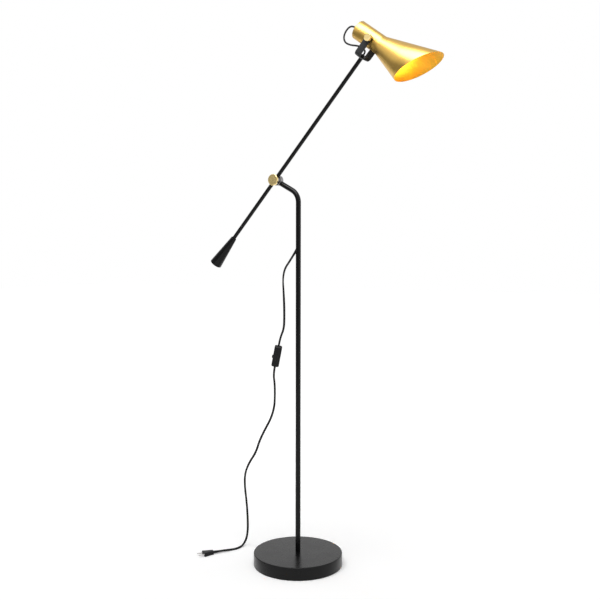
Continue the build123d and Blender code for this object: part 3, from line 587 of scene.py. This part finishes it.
# Base: a spun steel cup with a softly rolled rim
base = turned(
    "base_shell",
    [
        (1, 138), (1, 140), (40, 140), (40, 136), (40, 130), (40, 60), (40, 6), (38, 6),
        (38, 60), (38, 138), (1, 138),
    ],
    [(40, 140, 2.5, 6), (1, 140, 0.6, 2)],
    segments=192,
    hollow=True,
)
smooth(base)
dress(base, "stand", "black_coat", black_coat, "base_cover")

# Post: a tube drawn up, bent over and led into the pivot housing
POST_RADIUS = 8 * MM
POST_FOOT = 40 * MM
POST_BEND = 44 * MM
POST_SETBACK = 8 * MM
post_corner = Vector((0, 0, 1167)) * MM
post_slope = (POST_END - post_corner).normalized()
post_turn = UP.angle(post_slope)
bend_lead = POST_BEND * tan(post_turn / 2)
bend_start = post_corner.z - bend_lead
deselect()
bpy.ops.mesh.primitive_circle_add(
    vertices=64, radius=POST_RADIUS, fill_type="NGON", location=(0, 0, POST_FOOT)
)
post = bpy.context.object
post.name = "post_tube"
edit(post)
bpy.ops.mesh.select_all(action="SELECT")
bpy.ops.mesh.extrude_region_move(TRANSFORM_OT_translate={"value": (0, 0, bend_start - POST_FOOT)})
bpy.ops.mesh.spin(steps=28, angle=post_turn, center=(-POST_BEND, 0, bend_start), axis=(0, 1, 0))
tail = (POST_END - post_corner).length - bend_lead - POST_SETBACK
bpy.ops.mesh.extrude_region_move(TRANSFORM_OT_translate={"value": post_slope * tail})
leave_edit()
take_up(post)
bpy.ops.object.transform_apply(location=True, rotation=True, scale=True)
face_outwards(post)
smooth(post)
dress(post, "stand", "black_coat", black_coat, "post")

# Cord relief: a tapered rubber sleeve with flexing rings
relief_stations = [(-6, 4.4), (2, 4.5)]
for ring in range(5):
    foot = 4 + 3 * ring
    taper = 4.5 - 0.05 * foot
    relief_stations += groove(foot, taper, 0.6, 0.4, 1.2, 1.6)
relief_stations += [(19.4, 3.7), (RELIEF_LENGTH, 3.1)]
relief = turned("cord_relief_sleeve", relief_stations, segments=48)
settle(relief, placement(EXIT_POINT, OUT_OF_POST, REAR))
smooth(relief, 30)
dress(relief, "stand", "cord", jacket, "cord_relief")

# Arm pivot: housing, hub and clamp knob on one axis across the lamp
housing = turned(
    "pivot_drum",
    [(-8.25, 12), (-8.25, 14.5), (-8.25, 16), (8.25, 16), (8.25, 14.5), (8.25, 9), (7.25, 8.9)],
    [(-8.25, 16, 0.8, 3), (8.25, 16, 0.8, 3)],
)
settle(housing, placement(PIVOT_ON_POST, REAR, UP))
smooth(housing)
dress(housing, "stand", "pivot_steel", pivot_steel, "pivot_housing")

hub = turned(
    "arm_hub_drum",
    [(-7, 11), (-7, 12.5), (-7, 14), (7, 14), (7, 12.5), (7, 10)],
    [(-7, 14, 0.8, 3), (7, 14, 0.8, 3)],
)
settle(hub, placement(ARM_PIVOT, REAR, UP))
smooth(hub)
dress(hub, "arm", "pivot_steel", pivot_steel, "arm_hub")


KNOB_CHAMFER = 0.9
KNURL_DEPTH = 0.22
DISH_DEPTH = 0.15


def knurled_knob(name, radius, length, teeth):
    """A turned knob with a fine straight knurl round its rim and a shallow dish in its face."""
    rim = radius - KNOB_CHAMFER
    dish = length - DISH_DEPTH
    knob = turned(
        name,
        [
            (0, rim - 1), (0, rim), (KNOB_CHAMFER, radius), (length - KNOB_CHAMFER, radius),
            (length, rim), (length, rim - 0.8), (dish, rim - 1.6), (dish, rim - 2.2),
        ],
        segments=2 * teeth,
    )
    edge = KNOB_CHAMFER - 0.1
    for index, point in enumerate(knob.data.vertices):
        on_rim = edge * MM < point.co.z < (length - edge) * MM
        if on_rim and index % 2:
            point.co.xy *= 1 - KNURL_DEPTH * MM / point.co.xy.length
    return knob


knob = knurled_knob("arm_clamp_knob", 17.5, 7.2, 72)
settle(knob, placement(ARM_PIVOT + FRONT * 7 * MM, FRONT, UP))
smooth(knob, 40)
dress(knob, "clamp_knob", "brass", knob_brass, "arm_knob")

# Arm: the upper and lower tubes and the cone that balances them
down_arm = placement(ARM_PIVOT, -UP_ARM, REAR)
upper_arm = turned(
    "arm_upper_tube",
    [(5.5, 5.2), (5.5, 6), (448, 6), (452.4, 6), (453, 5.4), (453, 4.6)],
    segments=48,
)
settle(upper_arm, placement(ARM_PIVOT, UP_ARM, REAR))
smooth(upper_arm)
dress(upper_arm, "arm", "black_coat", black_coat, "arm_tube")

lower_arm = turned("arm_lower_rod", [(5.5, 5.2), (5.5, 6), (242, 6), (319, 6), (320, 5)], segments=48)
settle(lower_arm, down_arm)
smooth(lower_arm)
dress(lower_arm, "arm", "black_coat", black_coat, "arm_rod")

weight = turned(
    "counterweight_cone",
    [
        (240, 6.05), (240, 7.6), (240, 8.7), (351, 19.85), (351, 18.2), (351, 16.4),
        (350.4, 14.8), (350.4, 8), (320.1, 6.05), (240, 6.05),
    ],
    [(240, 8.7, 0.6, 3), (351, 19.85, 0.6, 3)],
    hollow=True,
)
settle(weight, down_arm)
smooth(weight)
dress(weight, "arm", "black_coat", black_coat, "counterweight")

# Yoke: a strip bent into a U with round ends, thickened inwards
STRIP_HALF = 10.5 * MM
YOKE_HALF = 33.5 * MM
YOKE_BEND = 12 * MM
STRIP_THICKNESS = 3 * MM
END_ROUND = 10.49 * MM
flat_half = YOKE_HALF - YOKE_BEND
deselect()
bpy.ops.mesh.primitive_plane_add(size=1, location=(-YOKE_REACH, 0, 0), rotation=(0, -pi / 2, 0))
yoke = bpy.context.object
yoke.name = "yoke_strip"
yoke.scale = (2 * STRIP_HALF, 2 * flat_half, 1)
bpy.ops.object.transform_apply(location=True, rotation=True, scale=True)
for side in (-1, 1):
    pick_edges(yoke, lambda point: abs(point.y - side * flat_half) < TOUCHING)
    bpy.ops.mesh.spin(
        steps=10,
        angle=pi / 2,
        center=(-YOKE_REACH + YOKE_BEND, side * flat_half, 0),
        axis=(0, 0, side),
    )
    leave_edit()
    pick_edges(yoke, lambda point: abs(point.y - side * YOKE_HALF) < TOUCHING)
    reach = YOKE_REACH - YOKE_BEND
    bpy.ops.mesh.extrude_region_move(TRANSFORM_OT_translate={"value": (reach, 0, 0)})
    bpy.ops.mesh.extrude_region_move(TRANSFORM_OT_translate={"value": (STRIP_HALF, 0, 0)})
    leave_edit()
clear_picks(yoke, "VERT")
for point in yoke.data.vertices:
    point.select = abs(point.co.x - STRIP_HALF) < TOUCHING
edit(yoke)
bpy.ops.mesh.bevel(offset=END_ROUND, segments=12, affect="VERTICES")
leave_edit()
face_outwards(yoke)
apply_modifier(yoke, "SOLIDIFY", thickness=STRIP_THICKNESS, offset=-1)
apply_modifier(yoke, "BEVEL", width=0.5 * MM, segments=3, limit_method="ANGLE", angle_limit=radians(50))
yoke_place = Matrix((UP_ARM, REAR, ACROSS_ARM)).transposed().to_4x4()
yoke_place.translation = SHADE_PIVOT
settle(yoke, yoke_place)
smooth(yoke)
dress(yoke, "arm", "black_coat", strip_coat, "yoke")

# Shade: a spun neck and cone, cut off at a slant and thickened inwards
SHADE_WALL = 1 * MM
NECK_RADIUS = 28
CONE_START = 30
CONE_SLOPE = tan(radians(15.8))
MOUTH_DISTANCE = 163
MOUTH_SLANT = radians(28.6)
CONE_END = 219
on_shade = placement(SHADE_PIVOT, TO_MOUTH, REAR)
shade_stations = [(height, NECK_RADIUS) for height in (-60, -30, 20, CONE_START)]
shade_stations += [
    (height, NECK_RADIUS + (height - CONE_START) * CONE_SLOPE) for height in (60, 110, CONE_END)
]
shade = turned(
    "shade_spun", shade_stations, [(CONE_START, NECK_RADIUS, 5, 5)], segments=160, hollow=True
)
settle(shade, on_shade)
mouth_lean = pi / 2 - SHADE_DROP - MOUTH_SLANT
mouth_normal = Vector((sin(mouth_lean), 0, -cos(mouth_lean)))
edit(shade)
bpy.ops.mesh.select_all(action="SELECT")
bpy.ops.mesh.bisect(
    plane_co=SHADE_PIVOT + TO_MOUTH * MOUTH_DISTANCE * MM, plane_no=mouth_normal, clear_outer=True
)
leave_edit()
face_outwards(shade)
shade.data.materials.append(shade_brass)
# The inner faces take the second material, whose orange is partly painted warm light inside the shade.
shade.data.materials.append(lining_brass_painted_warm)
apply_modifier(shade, "SOLIDIFY", thickness=SHADE_WALL, offset=-1, material_offset=1, material_offset_rim=0)
apply_modifier(shade, "BEVEL", width=0.3 * MM, segments=2, limit_method="ANGLE", angle_limit=radians(60))
smooth(shade)
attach(shade, "head")
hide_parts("shade")

rear_lid = turned(
    "shade_rear_lid",
    [
        (-61.2, 5.1), (-61.2, 24), (-61.2, 26.6), (-60.9, 27.6), (-60.3, 28), (-60, 28), (-60, 26.9),
        (-52, 26.9), (-52, 25.7), (-60, 25.7), (-60, 5.1), (-61.2, 5.1),
    ],
    hollow=True,
)
settle(rear_lid, on_shade)
smooth(rear_lid)
dress(rear_lid, "head", "brass", shade_brass, "rear_cap")

gland = turned(
    "cable_gland",
    [
        (-61.2, 5.05), (-61.2, 6.5), (-62, 6.5), (-62.4, 6.1), (-63.2, 6.1), (-63.6, 6.5), (-65.4, 6.5),
        (-66.2, 6.2), (-70.8, 4.3), (-71.6, 4), (-72.2, 3.4), (-72.2, 2.65), (-66.3, 2.65), (-66.2, 5.05),
        (-61.2, 5.05),
    ],
    segments=64,
    hollow=True,
)
settle(gland, on_shade)
smooth(gland, 30)
dress(gland, "head", "black_plastic", moulding, "head_gland")

for side, direction, knob_body in ((-1, FRONT, "front_knob"), (1, REAR, "rear_knob")):
    side_name = knob_body.split("_")[0]
    thumb = knurled_knob(f"shade_thumb_knob_{side_name}", 10.75, 9, 54)
    settle(thumb, placement(SHADE_PIVOT + direction * YOKE_HALF, direction, UP))
    smooth(thumb, 40)
    dress(thumb, knob_body, "brass", thumb_brass, f"shade_knob_{side_name}")

# Lamp: a holder with ribs and a blown opal ball
holder_stations = [(-57, 5.1), (-57, 12.2), (-56.2, 13), (-52, 13)]
for rib in range(6):
    foot = -50 + 4 * rib
    holder_stations += groove(foot, 13, 0.7, 0.5, 1.6, 2.1)
holder_stations += [(-16, 13), (-15, 12.2), (-15, 7.1), (-48, 7.1), (-48, 5.1), (-57, 5.1)]
holder = turned("lampholder_ribbed", holder_stations, hollow=True)
settle(holder, on_shade)
smooth(holder, 30)
dress(holder, "head", "black_plastic", moulding, "lampholder")

BALL_RADIUS = 22.5
BALL_CENTRE = 22.5
BALL_STEPS = 18
lamp_stations = [(-9, 6), (-9, 7), (-6, 7.4)]
for step in range(5, BALL_STEPS):
    swing = pi * (1 - step / BALL_STEPS)
    lamp_stations.append((BALL_CENTRE + BALL_RADIUS * cos(swing), BALL_RADIUS * sin(swing)))
lamp_stations.append((BALL_CENTRE + BALL_RADIUS, 0.6))
lamp = turned("opal_lamp", lamp_stations, segments=64)
apply_modifier(lamp, "SUBSURF", levels=1, render_levels=1)
settle(lamp, on_shade)
smooth(lamp, 60)
dress(lamp, "head", "lamp_glass", opal, "lamp_glass")


# Switch: two shells with a parting groove and a slide button in its slot
FOOT_ROUND = 0.4


def rounded_block(name, size, corner, edge, corner_steps=6, edge_steps=3):
    """A block on the z axis, its long corners rounded and its upper edge softened, standing on z 0."""
    deselect()
    bpy.ops.mesh.primitive_cube_add(size=1, location=(0, 0, size[2] * MM / 2))
    block = bpy.context.object
    block.name = name
    block.scale = [side * MM for side in size]
    bpy.ops.object.transform_apply(location=True, rotation=True, scale=True)
    clear_picks(block, "EDGE")
    points = block.data.vertices
    for line in block.data.edges:
        first, second = (points[i].co for i in line.vertices)
        line.select = abs(first.z - second.z) > TOUCHING
    edit(block)
    bpy.ops.mesh.bevel(offset=corner * MM, segments=corner_steps, affect="EDGES")
    leave_edit()
    pick_edges(block, lambda point: abs(point.z - size[2] * MM) < TOUCHING)
    bpy.ops.mesh.bevel(offset=edge * MM, segments=edge_steps, affect="EDGES")
    leave_edit()
    pick_edges(block, lambda point: point.z < TOUCHING)
    bpy.ops.mesh.bevel(offset=FOOT_ROUND * MM, segments=2, affect="EDGES")
    leave_edit()
    return block


switch_out = Vector((cos(SWITCH_FACING), sin(SWITCH_FACING), 0))
switch_out = (switch_out - DOWN_SWITCH * switch_out.dot(DOWN_SWITCH)).normalized()
SWITCH_SIZE = (69, 26, 12)
SWITCH_CORNER = 9
SWITCH_EDGE = 4
SLOT_SIZE = (15.2, 8.2)
SLOT_RIM = 0.5
SLOT_DEPTH = 1.5
BUTTON_SIZE = (9, 8, 5)
BUTTON_FOOT = 10
BUTTON_OFFSET = 3
switch_face = SWITCH_SIZE[2] * MM
for half, out in (("front", switch_out), ("back", -switch_out)):
    shell = rounded_block(f"switch_shell_{half}", SWITCH_SIZE, SWITCH_CORNER, SWITCH_EDGE)
    if half == "front":
        pick_faces(shell, lambda middle, normal: middle.z > switch_face - TOUCHING)
        bpy.ops.mesh.inset(thickness=SLOT_RIM * MM)
        flat_size = [side - 2 * (SWITCH_EDGE + SLOT_RIM) for side in SWITCH_SIZE[:2]]
        shares = [slot / flat for slot, flat in zip(SLOT_SIZE, flat_size)]
        bpy.ops.transform.resize(value=(*shares, 1), center_override=(0, 0, switch_face))
        bpy.ops.mesh.extrude_region_move(TRANSFORM_OT_translate={"value": (0, 0, -SLOT_DEPTH * MM)})
        leave_edit()
    settle(shell, placement(SWITCH_CENTRE, out, DOWN_SWITCH))
    smooth(shell)
    apply_modifier(shell, "WEIGHTED_NORMAL", keep_sharp=True)
    dress(shell, "stand", "black_plastic", moulding, f"switch_{half}")
button = rounded_block("switch_slider", BUTTON_SIZE, 1.2, 0.8, 3, 3)
button_place = SWITCH_CENTRE + switch_out * BUTTON_FOOT * MM + DOWN_SWITCH * BUTTON_OFFSET * MM
settle(button, placement(button_place, switch_out, DOWN_SWITCH))
smooth(button)
apply_modifier(button, "WEIGHTED_NORMAL", keep_sharp=True)
dress(button, "button", "black_plastic", moulding, "switch_button")

# Plug: a tapered body and a ribbed sleeve
SLEEVE_LENGTH = 22
PLUG_SIZE = (13, 34, 34)
PLUG_NARROW = 14 / 34
sleeve_stations = [(0, 3.1), (0, 3.7)]
for ring in range(5):
    foot = 2.5 + 3.6 * ring
    taper = 3.7 + 0.055 * foot
    sleeve_stations += groove(foot, taper, 0.6, 0.4, 1.4, 1.8)
sleeve_stations += [(21, 4.95), (SLEEVE_LENGTH, 5)]
sleeve = turned("plug_sleeve_ribbed", sleeve_stations, segments=48)
settle(sleeve, placement(PLUG_START, TO_PINS, UP))
smooth(sleeve, 30)
dress(sleeve, "stand", "cord", jacket, "plug_sleeve")

plug = rounded_block("plug_grip", PLUG_SIZE, 5, 2)
for point in plug.data.vertices:
    share = point.co.z / (PLUG_SIZE[2] * MM)
    point.co.y *= PLUG_NARROW + (1 - PLUG_NARROW) * share
settle(plug, placement(PLUG_START + TO_PINS * SLEEVE_LENGTH * MM, TO_PINS, UP))
smooth(plug)
apply_modifier(plug, "WEIGHTED_NORMAL", keep_sharp=True)
dress(plug, "stand", "black_plastic", moulding, "plug_body")

# Floor, light and background
def background_rays(tree):
    """1 for the rays that show the background: those of the camera, of reflections and through glass."""
    light_path = add(tree, "ShaderNodeLightPath")
    shown = light_path.outputs["Is Camera Ray"]
    for ray in ("Is Glossy Ray", "Is Transmission Ray"):
        either = add(tree, "ShaderNodeMath", operation="MAXIMUM")
        tree.links.new(shown, either.inputs[0])
        tree.links.new(light_path.outputs[ray], either.inputs[1])
        shown = either.outputs[0]
    return shown


FLOOR_HALF = 20
LIT_SPOT = (0.1, -0.45, 0)
LIT_RADIUS = 0.4
UNLIT_RADIUS = 2.8
LIT_GLOW = 0.17
UNLIT_GLOW = 0.7
deselect()
bpy.ops.mesh.primitive_plane_add(size=2 * FLOOR_HALF, location=(0, 0, 0))
floor = bpy.context.object
floor.name = "floor"
floor_finish, tree, shader = new_finish("pale_floor", (0.86, 0.86, 0.86), 0.9)
shader.inputs["Specular IOR Level"].default_value = 0.1
distance = add(tree, "ShaderNodeVectorMath", operation="LENGTH")
tree.links.new(surface_points(tree, centre=LIT_SPOT), distance.inputs[0])
fill = ranged(tree, distance.outputs["Value"], LIT_GLOW, UNLIT_GLOW, LIT_RADIUS, UNLIT_RADIUS)
glow = add(tree, "ShaderNodeMath", operation="MULTIPLY")
tree.links.new(background_rays(tree), glow.inputs[0])
tree.links.new(fill, glow.inputs[1])
shader.inputs["Emission Color"].default_value = (1, 1, 1, 1)
tree.links.new(glow.outputs[0], shader.inputs["Emission Strength"])
floor.data.materials.append(floor_finish)

world = bpy.data.worlds.new("studio")
bpy.context.scene.world = world
world.use_nodes = True
tree = world.node_tree
background = tree.nodes["Background"]
background.inputs["Color"].default_value = (1, 1, 1, 1)
AMBIENT = 0.35
strength = ranged(tree, background_rays(tree), AMBIENT, 1.0, 0, 1)
tree.links.new(strength, background.inputs["Strength"])


def soft_box(name, place, aim, width, height, watts):
    lamp_data = bpy.data.lights.new(name, "AREA")
    lamp_data.shape = "RECTANGLE"
    lamp_data.size = width
    lamp_data.size_y = height
    lamp_data.energy = watts
    box = bpy.data.objects.new(name, lamp_data)
    box.location = place
    box.rotation_euler = (Vector(aim) - Vector(place)).to_track_quat("-Z", "Y").to_euler()
    bpy.context.scene.collection.objects.link(box)


soft_box("overhead_box", (0.2, -1.05, 3.4), (0, 0, 0.8), 2.4, 1.6, 88)


def reflection_card(card, dim, bright, low, high):
    """A grey card that only reflections show, dim below one height and bright above another."""
    finish = bpy.data.materials.new(card.name)
    finish.use_nodes = True
    tree = finish.node_tree
    tree.nodes.clear()
    output = add(tree, "ShaderNodeOutputMaterial")
    glow = add(tree, "ShaderNodeEmission")
    height = add(tree, "ShaderNodeSeparateXYZ")
    tree.links.new(surface_points(tree), height.inputs[0])
    tree.links.new(ranged(tree, height.outputs["Z"], dim, bright, low, high), glow.inputs["Strength"])
    tree.links.new(glow.outputs[0], output.inputs["Surface"])
    card.data.materials.append(finish)
    card.visible_camera = False
    card.visible_diffuse = False
    card.visible_transmission = False
    card.visible_shadow = False


CARD_RADIUS = 3.2
CARD_TOP = 4.6
CARD_BACK = 0.25
CARD_RIGHT = 2.4
deselect()
bpy.ops.mesh.primitive_cylinder_add(
    vertices=64, radius=CARD_RADIUS, depth=CARD_TOP, end_fill_type="NOTHING", location=(0, 0, CARD_TOP / 2)
)
front_card = bpy.context.object
front_card.name = "front_card"
bpy.ops.object.transform_apply(location=True, rotation=True, scale=True)
pick_faces(front_card, lambda middle, normal: middle.y > CARD_BACK or middle.x > CARD_RIGHT)
bpy.ops.mesh.delete(type="FACE")
leave_edit()
reflection_card(front_card, 0.26, 0.95, 1.75, 2.7)
deselect()
bpy.ops.mesh.primitive_plane_add(size=6, location=(0, 3.1, 3.6))
top_card = bpy.context.object
top_card.name = "top_card"
bpy.ops.object.transform_apply(location=True, rotation=True, scale=True)
reflection_card(top_card, 0.65, 0.65, 0, 1)

# A faint glow inside the shade, as from its lamp
GLOW_REACH = 62
glow_data = bpy.data.lights.new("shade_glow", "POINT")
glow_data.energy = 1.5
glow_data.color = (1, 0.92, 0.62)
glow_data.shadow_soft_size = 0.025
shade_glow = bpy.data.objects.new("shade_glow", glow_data)
shade_glow.location = SHADE_PIVOT + TO_MOUTH * GLOW_REACH * MM
bpy.context.scene.collection.objects.link(shade_glow)
shade_glow.parent = lamp
